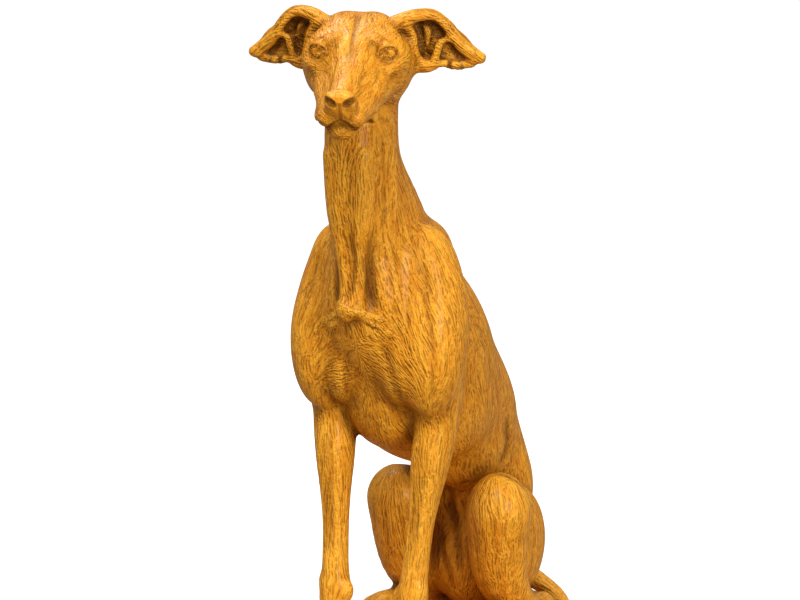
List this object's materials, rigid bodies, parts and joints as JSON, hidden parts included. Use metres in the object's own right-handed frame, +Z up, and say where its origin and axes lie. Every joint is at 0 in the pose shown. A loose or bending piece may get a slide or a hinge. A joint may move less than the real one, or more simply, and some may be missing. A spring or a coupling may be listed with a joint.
{
  "type": "dog statuette",
  "caption": "Carved wooden figure of a seated greyhound with ears swept sideways, on a low base of the same block.",
  "frame": {"origin": "middle of the underside of the base", "axes": "+Z up through the figure, -Y the way the dog's chest faces, +X towards the dog's left side"},
  "size_m": [0.155, 0.3028, 0.4057],
  "materials": {
    "carved_wood": "waxed, satin gloss"
  },
  "bodies": {
    "root": {"greyhound": "carved_wood"}
  },
  "joints": []
}
